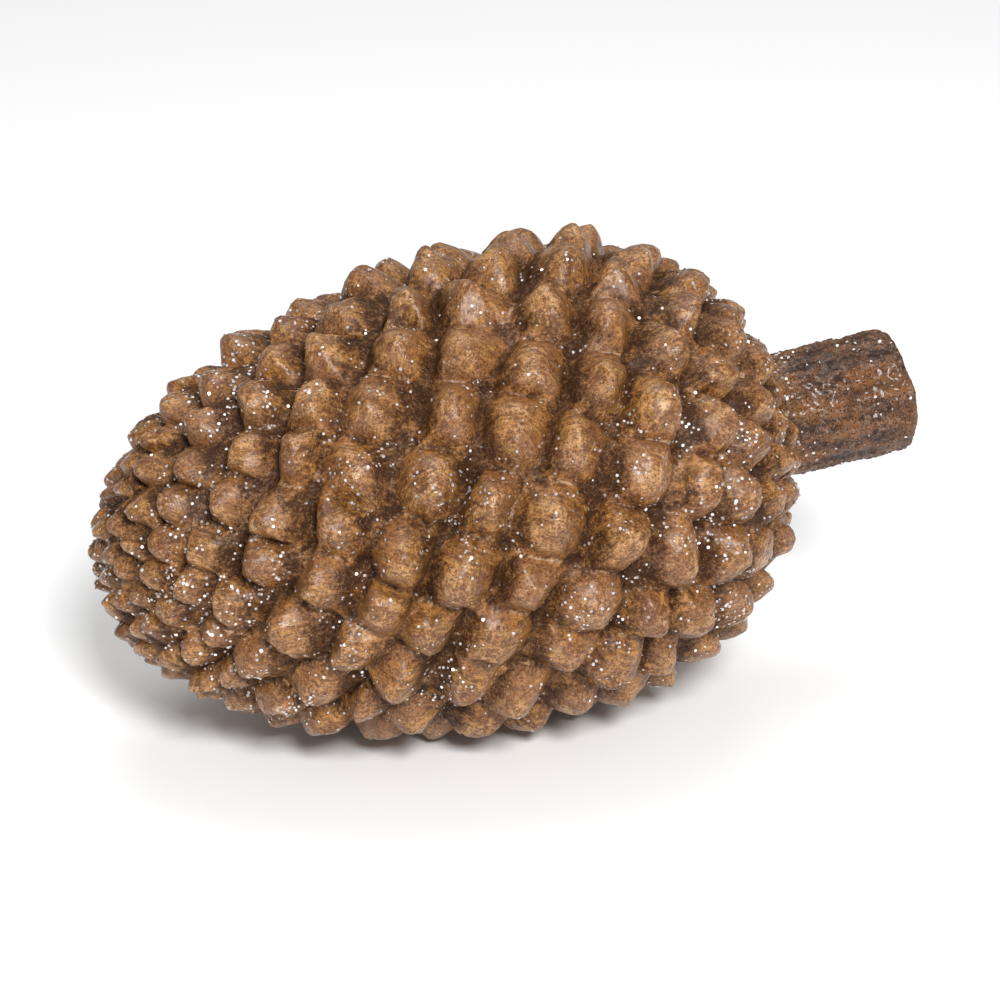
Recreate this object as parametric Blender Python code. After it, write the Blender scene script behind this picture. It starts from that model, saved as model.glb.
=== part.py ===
"""A large pine cone ornament, cast and painted, lying on its side.

The cone is one casting, with knobbly scales raised from its surface in spiral rows. A short round
stub of branch is seated in a socket at the cone's base. Lengths are metres and angles are degrees.
"""

import math

import bmesh
import bpy
import numpy as np
from mathutils import Matrix, Vector
from mathutils.geometry import delaunay_2d_cdt

# Driving dimensions of the cone, measured along its axis from the widest place to the scale tips
GIRTH_RADIUS = 0.0432
TIP_REACH = 0.074
BASE_REACH = 0.0475
BASE_BLUNTNESS = 2.3

# Driving dimensions of the scales. Their rise is a share of their pitch.
GIRTH_PITCH = 0.01223
PITCH_TAPER = 0.72
SMALLEST_PITCH = 0.0060
SCALE_RISE = 0.60
LOWEST_SCALE = 0.82
TIP_LEAN = 38.0
BASE_LEAN = 34.0

# The spiral rows: where the first scale grows, and the turn from each scale to the next
FIRST_SCALE_SHARE = 1.25
FIRST_SCALE_ANGLE = 231.4
DIVERGENCE = -99.342
TWIST_PER_METRE = -392.0

# How much the scales differ: in place, in size, and in the slanted facet on each one's crown
SCALE_STRAY = 0.13
SIZE_SPREAD = 0.15
MOST_SCALE_TURN = 14.0
CREST_TURNOVER = -0.022
FACET_SWING = 1.1
FACET_TILTS = (0.20, 0.85)
FACET_LEVELS = (0.84, 0.98)

# The two ends of the cone that the scales leave bare
APEX_HOLLOW_RADIUS = 0.0045
APEX_RING_LENGTH = 0.0010
BASE_RING_RADIUS = 0.0066

# Driving dimensions of the stem
STEM_RADIUS = 0.0110
STEM_END = 0.0699
STEM_SIDES = 24
SOCKET_FLOOR = 0.030
SEAT_GAP = 0.0003
BARK_START = 0.045
BARK_RINGS = [0.047, 0.053, 0.059, 0.065, 0.068]
BARK_RIDGE_SHARE = 0.025
WORN_RIM_SHARE = 0.87
WORN_RIM_DEPTH = 0.0006

# How the cone lies
REST_TILT = 6.5
FLAT_DEPTH = 0.0013

# Rings of corners on a scale, as (share of its reach to its neighbours, share of its rise, corners)
LARGE_SCALE_RINGS = [(0.0, 1.0, 1), (0.38, 0.85, 4), (0.70, 0.52, 8), (0.94, 0.12, 8)]
SMALL_SCALE_RINGS = [(0.0, 1.0, 1), (0.60, 0.64, 6), (0.93, 0.12, 7)]
SMALL_SCALE_PITCH = 0.0094
END_RING_CORNERS = 12
SEAM_OVERLAP = 1.5
RANDOM_SEED = 11


def clear_scene():
    for thing in list(bpy.data.objects):
        bpy.data.objects.remove(thing, do_unlink=True)


def new_collection(name):
    collection = bpy.data.collections.new(name)
    bpy.context.scene.collection.children.link(collection)
    return collection


def add_object(name, mesh, collection):
    piece = bpy.data.objects.new(name, mesh)
    collection.objects.link(piece)
    return piece


def make_material(name, color, roughness):
    material = bpy.data.materials.new(name)
    material.use_nodes = True
    shader = material.node_tree.nodes["Principled BSDF"]
    shader.inputs["Base Color"].default_value = (*color, 1.0)
    shader.inputs["Roughness"].default_value = roughness
    shader.inputs["Metallic"].default_value = 0.0
    return material


class Profile:
    """The cone's crest profile, which touches the scale tips, measured by the length along it."""

    def __init__(self):
        turn = np.linspace(0.0, math.pi, 1601)
        tip_side = turn < math.pi / 2
        reach = np.where(tip_side, TIP_REACH, BASE_REACH)
        power = np.where(tip_side, 2.0, BASE_BLUNTNESS)
        self.along = -np.cos(turn) * reach
        share = np.clip(np.abs(np.cos(turn)), 0.0, 1.0)
        self.radius = GIRTH_RADIUS * (1.0 - share**power) ** (1.0 / power)
        steps = np.hypot(np.diff(self.along), np.diff(self.radius))
        self.length = np.concatenate([[0.0], np.cumsum(steps)])
        middle = np.maximum(0.5 * (self.radius[1:] + self.radius[:-1]), 0.0005)
        # How far along a map of the surface on which a small circle stays a circle
        self.chart = np.concatenate([[0.0], np.cumsum(steps / middle)])
        taken = 2.0 * math.pi * middle * steps / self.pitch(middle) ** 2
        # How many scales grow between the tip and each place
        self.scales = np.concatenate([[0.0], np.cumsum(taken)])

    def pitch(self, radius):
        """Distance between neighbouring scales where the crest has this radius."""
        return np.maximum(GIRTH_PITCH * (radius / GIRTH_RADIUS) ** PITCH_TAPER, SMALLEST_PITCH)

    def read(self, values, length):
        return np.interp(length, self.length, values)

    def slope(self, length):
        """Angle of the profile to the axis, positive where the cone widens towards the stem."""
        step = 0.0003
        widening = self.read(self.radius, length + step) - self.read(self.radius, length - step)
        advance = self.read(self.along, length + step) - self.read(self.along, length - step)
        return np.arctan2(widening, advance)


class Scales:
    """Where the scales grow, from the tip to the stem, and how far each reaches to its neighbours."""

    def __init__(self, profile):
        index = np.arange(int(profile.scales[-1]))
        length = np.interp(index + FIRST_SCALE_SHARE, profile.scales, profile.length)
        radius = profile.read(profile.radius, length)
        along = profile.read(profile.along, length)
        under_stem = (along > 0.0) & (radius < STEM_RADIUS)
        kept = (radius > APEX_HOLLOW_RADIUS) & ~under_stem
        turned = FIRST_SCALE_ANGLE + DIVERGENCE * index + TWIST_PER_METRE * along
        random = np.random.default_rng(RANDOM_SEED)
        strays = random.uniform(-SCALE_STRAY, SCALE_STRAY, (2, len(index))) * profile.pitch(radius)
        turned += np.degrees(strays[1] / np.maximum(radius, 0.001))
        self.length = (length + strays[0])[kept]
        self.angle = np.radians(turned[kept])
        self.along = profile.read(profile.along, self.length)
        self.radius = profile.read(profile.radius, self.length)
        self.pitch = profile.pitch(self.radius)
        self.slope = profile.slope(self.length)
        self.count = len(self.length)
        self.size = random.uniform(-SIZE_SPREAD, SIZE_SPREAD, self.count) * self.pitch**2
        self.tall = random.uniform(LOWEST_SCALE, 1.0, self.count)
        self.turn = random.uniform(-MOST_SCALE_TURN, MOST_SCALE_TURN, self.count)
        facing_tip = self.along < CREST_TURNOVER
        self.facet_way = np.where(facing_tip, 0.0, math.pi)
        self.facet_way += random.uniform(-FACET_SWING, FACET_SWING, self.count)
        self.facet_tilt = random.uniform(*FACET_TILTS, self.count)
        self.facet_level = random.uniform(*FACET_LEVELS, self.count)

    def frames(self):
        """Each scale's place, with its directions to the stem and round the cone."""
        cos_a, sin_a = np.cos(self.angle), np.sin(self.angle)
        cos_s, sin_s = np.cos(self.slope), np.sin(self.slope)
        place = np.stack([self.along, self.radius * cos_a, self.radius * sin_a], axis=-1)
        forward = np.stack([cos_s, sin_s * cos_a, sin_s * sin_a], axis=-1)
        round_way = np.stack([np.zeros(self.count), -sin_a, cos_a], axis=-1)
        return place, forward, round_way

    def reach(self, number, directions):
        """Distance from a scale's middle to its borders, which lie nearer to a smaller neighbour."""
        place, forward, round_way = self.frames()
        offset = place - place[number]
        near = np.linalg.norm(offset, axis=1)
        beside = (near > 0.0) & (near < 3.0 * self.pitch[number])
        ahead = offset[beside] @ forward[number]
        across = offset[beside] @ round_way[number]
        facing = np.outer(np.cos(directions), ahead) + np.outer(np.sin(directions), across)
        larger = self.size[number] - self.size[beside]
        halfway = (near[beside] ** 2 + larger) / (2.0 * np.maximum(facing, 1e-6))
        return np.minimum(halfway.min(axis=1), 0.75 * self.pitch[number])


def lean_of(along):
    """Lean of a scale away from straight out: to the tip at one end and to the stem at the other."""
    if along < 0.0:
        return -math.radians(TIP_LEAN) * (-along / TIP_REACH) ** 1.5
    return math.radians(BASE_LEAN) * along / BASE_REACH


class Surface:
    """The corners of the cone's skin: on the flat chart for joining up, and in space."""

    def __init__(self, profile):
        self.profile = profile
        self.chart = []
        self.space = []

    def add(self, length, angle, depth, drift):
        """One corner, this deep below the crest and drifted this far towards the stem."""
        profile = self.profile
        radius = float(profile.read(profile.radius, length))
        along = float(profile.read(profile.along, length))
        slope = float(profile.slope(length))
        along += depth * math.sin(slope) + drift * math.cos(slope)
        radius += drift * math.sin(slope) - depth * math.cos(slope)
        self.chart.append((angle, float(profile.read(profile.chart, length))))
        self.space.append((along, radius * math.cos(angle), radius * math.sin(angle)))

    def add_scale(self, scales, number):
        pitch = scales.pitch[number]
        rise = SCALE_RISE * pitch
        turn = math.radians(scales.turn[number])
        push = math.tan(lean_of(scales.along[number]))
        rings = SMALL_SCALE_RINGS if pitch < SMALL_SCALE_PITCH else LARGE_SCALE_RINGS
        for share, height, corners in rings:
            directions = turn + 2.0 * math.pi * np.arange(corners) / corners
            reaches = share * scales.reach(number, directions)
            for direction, reach in zip(directions, reaches):
                length = scales.length[number] + reach * math.cos(direction)
                radius = float(self.profile.read(self.profile.radius, length))
                angle = scales.angle[number] + reach * math.sin(direction) / max(radius, 0.001)
                down_facet = reach * math.cos(direction - scales.facet_way[number]) / pitch
                facet = scales.facet_level[number] - scales.facet_tilt[number] * down_facet
                raised = rise * scales.tall[number] * min(height, facet)
                self.add(length, angle, rise - raised, push * raised)

    def add_end_ring(self, length, depth):
        for corner in range(END_RING_CORNERS):
            self.add(length, 2.0 * math.pi * corner / END_RING_CORNERS, depth, 0.0)

    def triangles(self):
        """Joins the corners on the chart, which runs on past both its edges and comes round again."""
        full = 2.0 * math.pi
        chart = np.array(self.chart)
        chart[:, 0] %= full
        corners = np.arange(len(chart))
        copies = []
        for turns in (-1, 0, 1):
            moved = chart + [turns * full, 0.0]
            shown = (moved[:, 0] > -SEAM_OVERLAP) & (moved[:, 0] < full + SEAM_OVERLAP)
            copies.append((moved[shown], corners[shown]))
        points = np.concatenate([points for points, _ in copies])
        owners = np.concatenate([owners for _, owners in copies])
        joined = delaunay_2d_cdt([Vector(point) for point in points], [], [], 0, 1e-7)
        vertices, _, faces, sources = joined[:4]
        kept = []
        for face in faces:
            middle = sum(vertices[corner].x for corner in face) / 3.0
            if 0.0 <= middle < full:
                kept.append([int(owners[sources[corner][0]]) for corner in face])
        return kept


def raised_skin():
    """The cone's whole skin: every scale's corners, and a ring of corners at each bare end."""
    profile = Profile()
    scales = Scales(profile)
    surface = Surface(profile)
    for number in range(scales.count):
        surface.add_scale(scales, number)
    under_stem = (profile.along > 0.0) & (profile.radius < BASE_RING_RADIUS)
    base_ring_length = float(profile.length[under_stem][0])
    surface.add_end_ring(APEX_RING_LENGTH, SCALE_RISE * profile.pitch(APEX_HOLLOW_RADIUS))
    surface.add_end_ring(base_ring_length, SCALE_RISE * profile.pitch(STEM_RADIUS))
    return surface


def build_cone(collection, cutters, material):
    """The casting, closed at its two ends, with a socket for the stem."""
    surface = raised_skin()
    shape = bmesh.new()
    corners = [shape.verts.new(place) for place in surface.space]
    for face in surface.triangles():
        shape.faces.new([corners[corner] for corner in face])
    apex_ring = corners[-2 * END_RING_CORNERS : -END_RING_CORNERS]
    base_ring = corners[-END_RING_CORNERS:]
    ends = [shape.faces.new(apex_ring), shape.faces.new(base_ring)]
    bmesh.ops.triangulate(shape, faces=ends)
    bmesh.ops.recalc_face_normals(shape, faces=shape.faces)
    mesh = bpy.data.meshes.new("cone")
    shape.to_mesh(mesh)
    shape.free()
    cone = add_object("cone", mesh, collection)
    cone.data.materials.append(material)
    socket_radius = STEM_RADIUS + SEAT_GAP
    socket = add_bar("stem_socket", socket_radius, SOCKET_FLOOR - SEAT_GAP, STEM_END, cutters)
    add_cut(cone, socket)
    return cone


def add_bar(name, radius, start, end, collection):
    """A round bar along the cone's axis, from one place to another."""
    mesh = bpy.data.meshes.new(name)
    shape = bmesh.new()
    bmesh.ops.create_cone(
        shape,
        cap_ends=True,
        segments=STEM_SIDES,
        radius1=radius,
        radius2=radius,
        depth=end - start,
    )
    bmesh.ops.rotate(shape, verts=shape.verts, matrix=Matrix.Rotation(math.pi / 2, 3, "Y"))
    bmesh.ops.translate(shape, verts=shape.verts, vec=((start + end) / 2, 0.0, 0.0))
    shape.to_mesh(mesh)
    shape.free()
    return add_object(name, mesh, collection)


def add_cut(piece, cutter):
    cutter.hide_render = True
    cutter.display_type = "WIRE"
    cut = piece.modifiers.new(cutter.name, "BOOLEAN")
    cut.operation = "DIFFERENCE"
    cut.object = cutter


def build_stem(collection, material):
    """A stub of branch: a bar with lengthwise ridges, and a worn rim at its broken end."""
    stem = add_bar("stem", STEM_RADIUS, SOCKET_FLOOR, STEM_END, collection)
    shape = bmesh.new()
    shape.from_mesh(stem.data)
    for ring in BARK_RINGS:
        bmesh.ops.bisect_plane(
            shape,
            geom=shape.verts[:] + shape.edges[:] + shape.faces[:],
            plane_co=(ring, 0.0, 0.0),
            plane_no=(1.0, 0.0, 0.0),
        )
    for corner in shape.verts:
        along, y, z = corner.co
        around = math.atan2(z, y)
        ridge = 0.6 * math.sin(5.0 * around + 1.0) + 0.4 * math.sin(11.0 * around + 60.0 * along)
        shown = min(max(0.0, along - BARK_START) / (BARK_RINGS[1] - BARK_START), 1.0)
        narrowed = 1.0 + shown * BARK_RIDGE_SHARE * (ridge - 1.0)
        if along > BARK_RINGS[-1] + WORN_RIM_DEPTH:
            narrowed *= WORN_RIM_SHARE
            along -= WORN_RIM_DEPTH * (1.0 + math.sin(3.0 * around))
        corner.co = (along, y * narrowed, z * narrowed)
    shape.to_mesh(stem.data)
    shape.free()
    stem.data.materials.append(material)
    return stem


def lay_down(pieces, cutters):
    """Tilts the cone tip down onto its scales and grinds small flats where it rests."""
    tilt = Matrix.Rotation(math.radians(-REST_TILT), 4, "Y")
    places = [tilt @ corner.co for piece in pieces for corner in piece.data.vertices]
    low = Vector([min(place[way] for place in places) for way in range(3)])
    high = Vector([max(place[way] for place in places) for way in range(3)])
    middle = (low + high) / 2
    to_floor = Matrix.Translation((-middle.x, -middle.y, -low.z - FLAT_DEPTH))
    for piece in pieces + list(cutters.objects):
        piece.matrix_world = to_floor @ tilt
    mesh = bpy.data.meshes.new("floor_cut")
    shape = bmesh.new()
    block = 0.3
    bmesh.ops.create_cube(shape, size=block)
    bmesh.ops.translate(shape, verts=shape.verts, vec=(0.0, 0.0, -block / 2))
    shape.to_mesh(mesh)
    shape.free()
    add_cut(pieces[0], add_object("floor_cut", mesh, cutters))


def main():
    clear_scene()
    parts = new_collection("pine_cone")
    cutters = new_collection("cutters")
    painted = make_material("painted_scales", (0.36, 0.19, 0.085), 0.38)
    bark = make_material("painted_bark", (0.16, 0.085, 0.05), 0.6)
    cone = build_cone(parts, cutters, painted)
    stem = build_stem(parts, bark)
    lay_down([cone, stem], cutters)


main()
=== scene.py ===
"""The look of a cast pine cone ornament: its fine scales, its bark stem and its glitter.

The fine cone grows its scales by the same rule as the solid that it replaces, with many more
corners. Lengths are metres. Angles are degrees, apart from those that a comment gives in radians.
"""

import math

import bpy
import numpy as np
from mathutils import Matrix, Vector, noise
from mathutils.geometry import delaunay_2d_cdt


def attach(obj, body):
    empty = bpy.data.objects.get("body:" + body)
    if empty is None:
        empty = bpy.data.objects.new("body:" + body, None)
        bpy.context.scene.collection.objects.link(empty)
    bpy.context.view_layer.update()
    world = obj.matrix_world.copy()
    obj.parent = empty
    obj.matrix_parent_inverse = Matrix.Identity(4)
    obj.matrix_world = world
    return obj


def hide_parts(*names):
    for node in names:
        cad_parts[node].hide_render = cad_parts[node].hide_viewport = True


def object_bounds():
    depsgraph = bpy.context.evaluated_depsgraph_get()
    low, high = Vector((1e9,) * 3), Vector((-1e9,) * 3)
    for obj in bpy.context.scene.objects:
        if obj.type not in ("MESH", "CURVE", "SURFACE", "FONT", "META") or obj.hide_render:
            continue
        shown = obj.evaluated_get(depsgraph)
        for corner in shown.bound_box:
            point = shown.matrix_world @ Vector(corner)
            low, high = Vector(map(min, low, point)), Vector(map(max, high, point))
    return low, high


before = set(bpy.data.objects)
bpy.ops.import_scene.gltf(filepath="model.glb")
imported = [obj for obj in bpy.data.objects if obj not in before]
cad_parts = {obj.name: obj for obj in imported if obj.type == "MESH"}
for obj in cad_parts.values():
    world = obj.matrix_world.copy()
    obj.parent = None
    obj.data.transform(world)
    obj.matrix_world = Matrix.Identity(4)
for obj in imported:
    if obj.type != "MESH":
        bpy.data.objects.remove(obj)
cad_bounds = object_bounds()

MM = 0.001
FULL_TURN = 2.0 * math.pi
TINY = 1e-6

# The cone's size along its axis, from its widest place to the scale tips
GIRTH_RADIUS = 0.0432
TIP_REACH = 0.074
BASE_REACH = 0.0475
BASE_BLUNTNESS = 2.3

# How finely the profile is measured. The least radii keep its middle clear of a division by nothing.
PROFILE_POINTS = 1601
SLOPE_STEP = 0.0003
LEAST_RADIUS = 0.001
LEAST_CHART_RADIUS = 0.0005

# The scales' sizes, and how far they lean at the cone's two ends. Towards the tip the lean grows
# with a power of the way there.
GIRTH_PITCH = 0.01223
PITCH_TAPER = 0.72
SMALLEST_PITCH = 0.0060
SCALE_RISE = 0.60
LOWEST_SCALE = 0.82
TIP_LEAN = 38.0
TIP_LEAN_POWER = 1.5
BASE_LEAN = 34.0

# The spiral rows: where the first scale grows, and the turn from each scale to the next
FIRST_SCALE_SHARE = 1.25
FIRST_SCALE_ANGLE = 231.4
DIVERGENCE = -99.342
TWIST_PER_METRE = -392.0

# How much the scales differ: in place, in size, and in the slanted facet on each one's crown.
# A facet swings by up to so many radians. Its level, and what its tilt drops it by over one pitch,
# are shares of the scale's rise.
SCALE_STRAY = 0.13
SIZE_SPREAD = 0.15
CREST_TURNOVER = -0.022
FACET_SWING = 1.1
FACET_TILTS = (0.20, 0.85)
FACET_LEVELS = (0.84, 0.98)
RANDOM_SEED = 11

# Where a scale borders on its neighbours, in pitches. A web lies between scales that are side by
# side, and fades where the largest share of the crowding there falls through this range.
NEIGHBOUR_DISTANCE = 3.0
FARTHEST_BORDER = 0.75
CORNER_ROUNDING = 12.0
WEB_FADE = (0.5, 0.9)

# The two ends of the cone that the scales leave bare
APEX_HOLLOW_RADIUS = 0.0045
APEX_HOLLOW_DEPTH = 0.9
APEX_RING_LENGTHS = [0.0005, 0.0010]
BASE_RING_RADIUS = 0.0066
END_CORNERS = 12
MORE_END_CORNERS = 6

# The stem, along the cone's axis
STEM_RADIUS = 0.0110
STEM_ROOT = 0.036
STEM_END = 0.0699

# How the cone lies, as the solid does: the middle of its widest place, and how far its tip is down
CONE_MIDDLE = Vector((0.001555, -0.000115, 0.041228))
REST_TILT = 6.5

# How finely each scale's skin is cut: corners along a ring, and rings from its middle to its foot.
# Smaller scales have fewer rings, by this power of their pitch.
CORNER_SPACING = 0.00088
FEWEST_CORNERS = 6
SCALE_RINGS = 13
FEWEST_RINGS = 6
RING_TAPER = 0.85
CROWN_STEPS = 201

# The form of each scale's crown. Radii and widths are shares of its pitch, heights of its rise. It
# holds its oval outline until near its foot, by the power of CROWN_HOLD, and meets its borders there.
CROWN_BLUNTNESS = 3.0
BLUNTNESS_SPREAD = (0.75, 1.25)
CROWN_PEAKS = (0.3, 0.65)
PEAK_POWER = 1.5
CROWN_RADIUS = 0.54
CROWN_WIDENING = 0.14
CROWN_SOFTNESS = 0.05
CROWN_HOLD = 3
FACET_SOFTNESS = 0.035
FOOT_SWEEP = 1.22
FOOT_SHARE = 0.97
KEEL_WIDTH = 0.14
KEEL_DROP = 0.13

# How far the valleys are filled in, as a share of the scales' rise
LEAST_FILL = 0.02
WEB_FILL = 0.34
UNEVEN_FILL = 0.20
MOST_FILL = 0.5
FILL_LUMPS = 0.007

# The brushed grain of the paint, which arches over each scale. Its turn is in radians. The hidden
# side of a scale, where shade is painted, fades out over the last range of its way to the foot.
MOST_GRAIN_TURN = 0.7
ARCH_CENTRE = 0.6
ARCH_SWEEP = 0.8
GRAIN_STEP = 0.37
LEE_FADE = (0.72, 0.97)

# Wear of the whole skin, and a slow sway of everything on it, as (depth, size of the lumps)
COARSE_WEAR = (0.00028, 0.0036)
FINE_WEAR = (0.00018, 0.0016)
SWAY = (0.0010, 0.0085)

# How far inside the solids' box the pieces stay
BOX_INSET = 0.00002

# How far the chart runs on past both its edges, in radians, and how close its corners may come
CHART_OVERLAP = 0.6
CHART_TOLERANCE = 1e-9

# The values that the paint reads at each corner of the skin
PAINT_VALUES = ("height", "tone", "lee", "edge", "margin")


def axis_to_world():
    """The matrix from the cone's own axis, along +X, to the place where it lies."""
    return Matrix.Translation(CONE_MIDDLE) @ Matrix.Rotation(math.radians(-REST_TILT), 4, "Y")


def to_world(places):
    matrix = np.array(axis_to_world())
    return places @ matrix[:3, :3].T + matrix[:3, 3]


def smooth_step(value, low, high):
    share = np.clip((value - low) / (high - low), 0.0, 1.0)
    return share * share * (3.0 - 2.0 * share)


def soft_lower(first, second, softness):
    """The lower of two heights, with the edge between them rounded over."""
    gap = np.clip(0.5 + 0.5 * (second - first) / softness, 0.0, 1.0)
    return second * (1.0 - gap) + first * gap - softness * gap * (1.0 - gap)


def soft_noise(places, size, shift=0.0):
    """Smooth noise from about -1 to 1 at each place, with lumps of this size. Each shift gives
    other lumps."""
    scaled = np.asarray(places) / size + shift
    return np.array([noise.noise(Vector(place)) for place in scaled])


class Profile:
    """The cone's crest profile, which touches the scale tips, measured by the length along it."""

    def __init__(self):
        turn = np.linspace(0.0, math.pi, PROFILE_POINTS)
        tip_side = turn < math.pi / 2
        reach = np.where(tip_side, TIP_REACH, BASE_REACH)
        power = np.where(tip_side, 2.0, BASE_BLUNTNESS)
        self.along = -np.cos(turn) * reach
        share = np.clip(np.abs(np.cos(turn)), 0.0, 1.0)
        self.radius = GIRTH_RADIUS * (1.0 - share**power) ** (1.0 / power)
        steps = np.hypot(np.diff(self.along), np.diff(self.radius))
        self.length = np.concatenate([[0.0], np.cumsum(steps)])
        middle = np.maximum(0.5 * (self.radius[1:] + self.radius[:-1]), LEAST_CHART_RADIUS)
        # How far along a map of the surface on which a small circle stays a circle
        self.chart = np.concatenate([[0.0], np.cumsum(steps / middle)])
        taken = FULL_TURN * middle * steps / self.pitch(middle) ** 2
        # How many scales grow between the tip and each place
        self.scales = np.concatenate([[0.0], np.cumsum(taken)])

    def pitch(self, radius):
        """Distance between neighbouring scales where the crest has this radius."""
        return np.maximum(GIRTH_PITCH * (radius / GIRTH_RADIUS) ** PITCH_TAPER, SMALLEST_PITCH)

    def read(self, values, length):
        return np.interp(length, self.length, values)

    def safe_radius(self, length):
        """The crest's radius, kept large enough to divide by."""
        return np.maximum(self.read(self.radius, length), LEAST_RADIUS)

    def slope(self, length):
        """Angle of the profile to the axis, positive where the cone widens towards the stem."""
        before, after = length - SLOPE_STEP, length + SLOPE_STEP
        widening = self.read(self.radius, after) - self.read(self.radius, before)
        advance = self.read(self.along, after) - self.read(self.along, before)
        return np.arctan2(widening, advance)

    def place(self, length, angle, depth, drift):
        """Places this deep below the crest and drifted this far towards the stem, on the axis."""
        slope = self.slope(length)
        along = self.read(self.along, length) + depth * np.sin(slope) + drift * np.cos(slope)
        radius = self.read(self.radius, length) + drift * np.sin(slope) - depth * np.cos(slope)
        return np.stack([along, radius * np.cos(angle), radius * np.sin(angle)], axis=-1)


class Scales:
    """Where the scales grow, from the tip to the stem, and how far each reaches to its neighbours."""

    def __init__(self, profile):
        index = np.arange(int(profile.scales[-1]))
        length = np.interp(index + FIRST_SCALE_SHARE, profile.scales, profile.length)
        radius = profile.read(profile.radius, length)
        along = profile.read(profile.along, length)
        under_stem = (along > 0.0) & (radius < STEM_RADIUS)
        kept = (radius > APEX_HOLLOW_RADIUS) & ~under_stem
        turned = FIRST_SCALE_ANGLE + DIVERGENCE * index + TWIST_PER_METRE * along
        random = np.random.default_rng(RANDOM_SEED)
        strays = random.uniform(-SCALE_STRAY, SCALE_STRAY, (2, len(index))) * profile.pitch(radius)
        turned += np.degrees(strays[1] / np.maximum(radius, LEAST_RADIUS))
        self.length = (length + strays[0])[kept]
        self.angle = np.radians(turned[kept])
        self.along = profile.read(profile.along, self.length)
        self.radius = profile.read(profile.radius, self.length)
        self.pitch = profile.pitch(self.radius)
        self.slope = profile.slope(self.length)
        self.count = len(self.length)
        self.draw_differences(random)
        self.find_frames()

    def draw_differences(self, random):
        """What sets each scale apart from the others, drawn in the same order as for the solid."""
        self.size = random.uniform(-SIZE_SPREAD, SIZE_SPREAD, self.count) * self.pitch**2
        self.tall = random.uniform(LOWEST_SCALE, 1.0, self.count)
        # The solid turns its few corners by the next draw, which the fine skin has no use for
        random.uniform(size=self.count)
        self.facing_tip = self.along < CREST_TURNOVER
        self.facet_way = np.where(self.facing_tip, 0.0, math.pi)
        self.facet_way += random.uniform(-FACET_SWING, FACET_SWING, self.count)
        self.facet_tilt = random.uniform(*FACET_TILTS, self.count)
        self.facet_level = random.uniform(*FACET_LEVELS, self.count)

    def find_frames(self):
        """Each scale's place, with its directions to the stem and round the cone."""
        cos_a, sin_a = np.cos(self.angle), np.sin(self.angle)
        cos_s, sin_s = np.cos(self.slope), np.sin(self.slope)
        self.place = np.stack([self.along, self.radius * cos_a, self.radius * sin_a], axis=-1)
        self.forward = np.stack([cos_s, sin_s * cos_a, sin_s * sin_a], axis=-1)
        self.round_way = np.stack([np.zeros(self.count), -sin_a, cos_a], axis=-1)

    def borders(self, number, directions):
        """For each direction from a scale's middle: how far to the halfway line with its neighbours,
        the same with the corners rounded, and how strongly a web joins it to the scale beyond."""
        offset = self.place - self.place[number]
        near = np.linalg.norm(offset, axis=1)
        beside = (near > 0.0) & (near < NEIGHBOUR_DISTANCE * self.pitch[number])
        ahead = offset[beside] @ self.forward[number]
        across = offset[beside] @ self.round_way[number]
        facing = np.outer(np.cos(directions), ahead) + np.outer(np.sin(directions), across)
        larger = self.size[number] - self.size[beside]
        halfway = (near[beside] ** 2 + larger) / (2.0 * np.maximum(facing, TINY))
        reach = np.minimum(halfway.min(axis=1), FARTHEST_BORDER * self.pitch[number])
        crowd = (reach[:, None] / halfway) ** CORNER_ROUNDING
        crowding = crowd.sum(axis=1)
        rounded = reach * np.maximum(crowding, 1.0) ** (-1.0 / CORNER_ROUNDING)
        beyond = crowd.argmax(axis=1)
        off_corner = smooth_step(crowd.max(axis=1) / np.maximum(crowding, TINY), *WEB_FADE)
        sideways = np.abs(across[beyond]) / near[beside][beyond]
        return reach, rounded, off_corner * sideways**2


def lean_of(along):
    """Lean of a scale away from straight out: to the tip at one end and to the stem at the other."""
    if along < 0.0:
        return -math.radians(TIP_LEAN) * (-along / TIP_REACH) ** TIP_LEAN_POWER
    return math.radians(BASE_LEAN) * along / BASE_REACH


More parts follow.
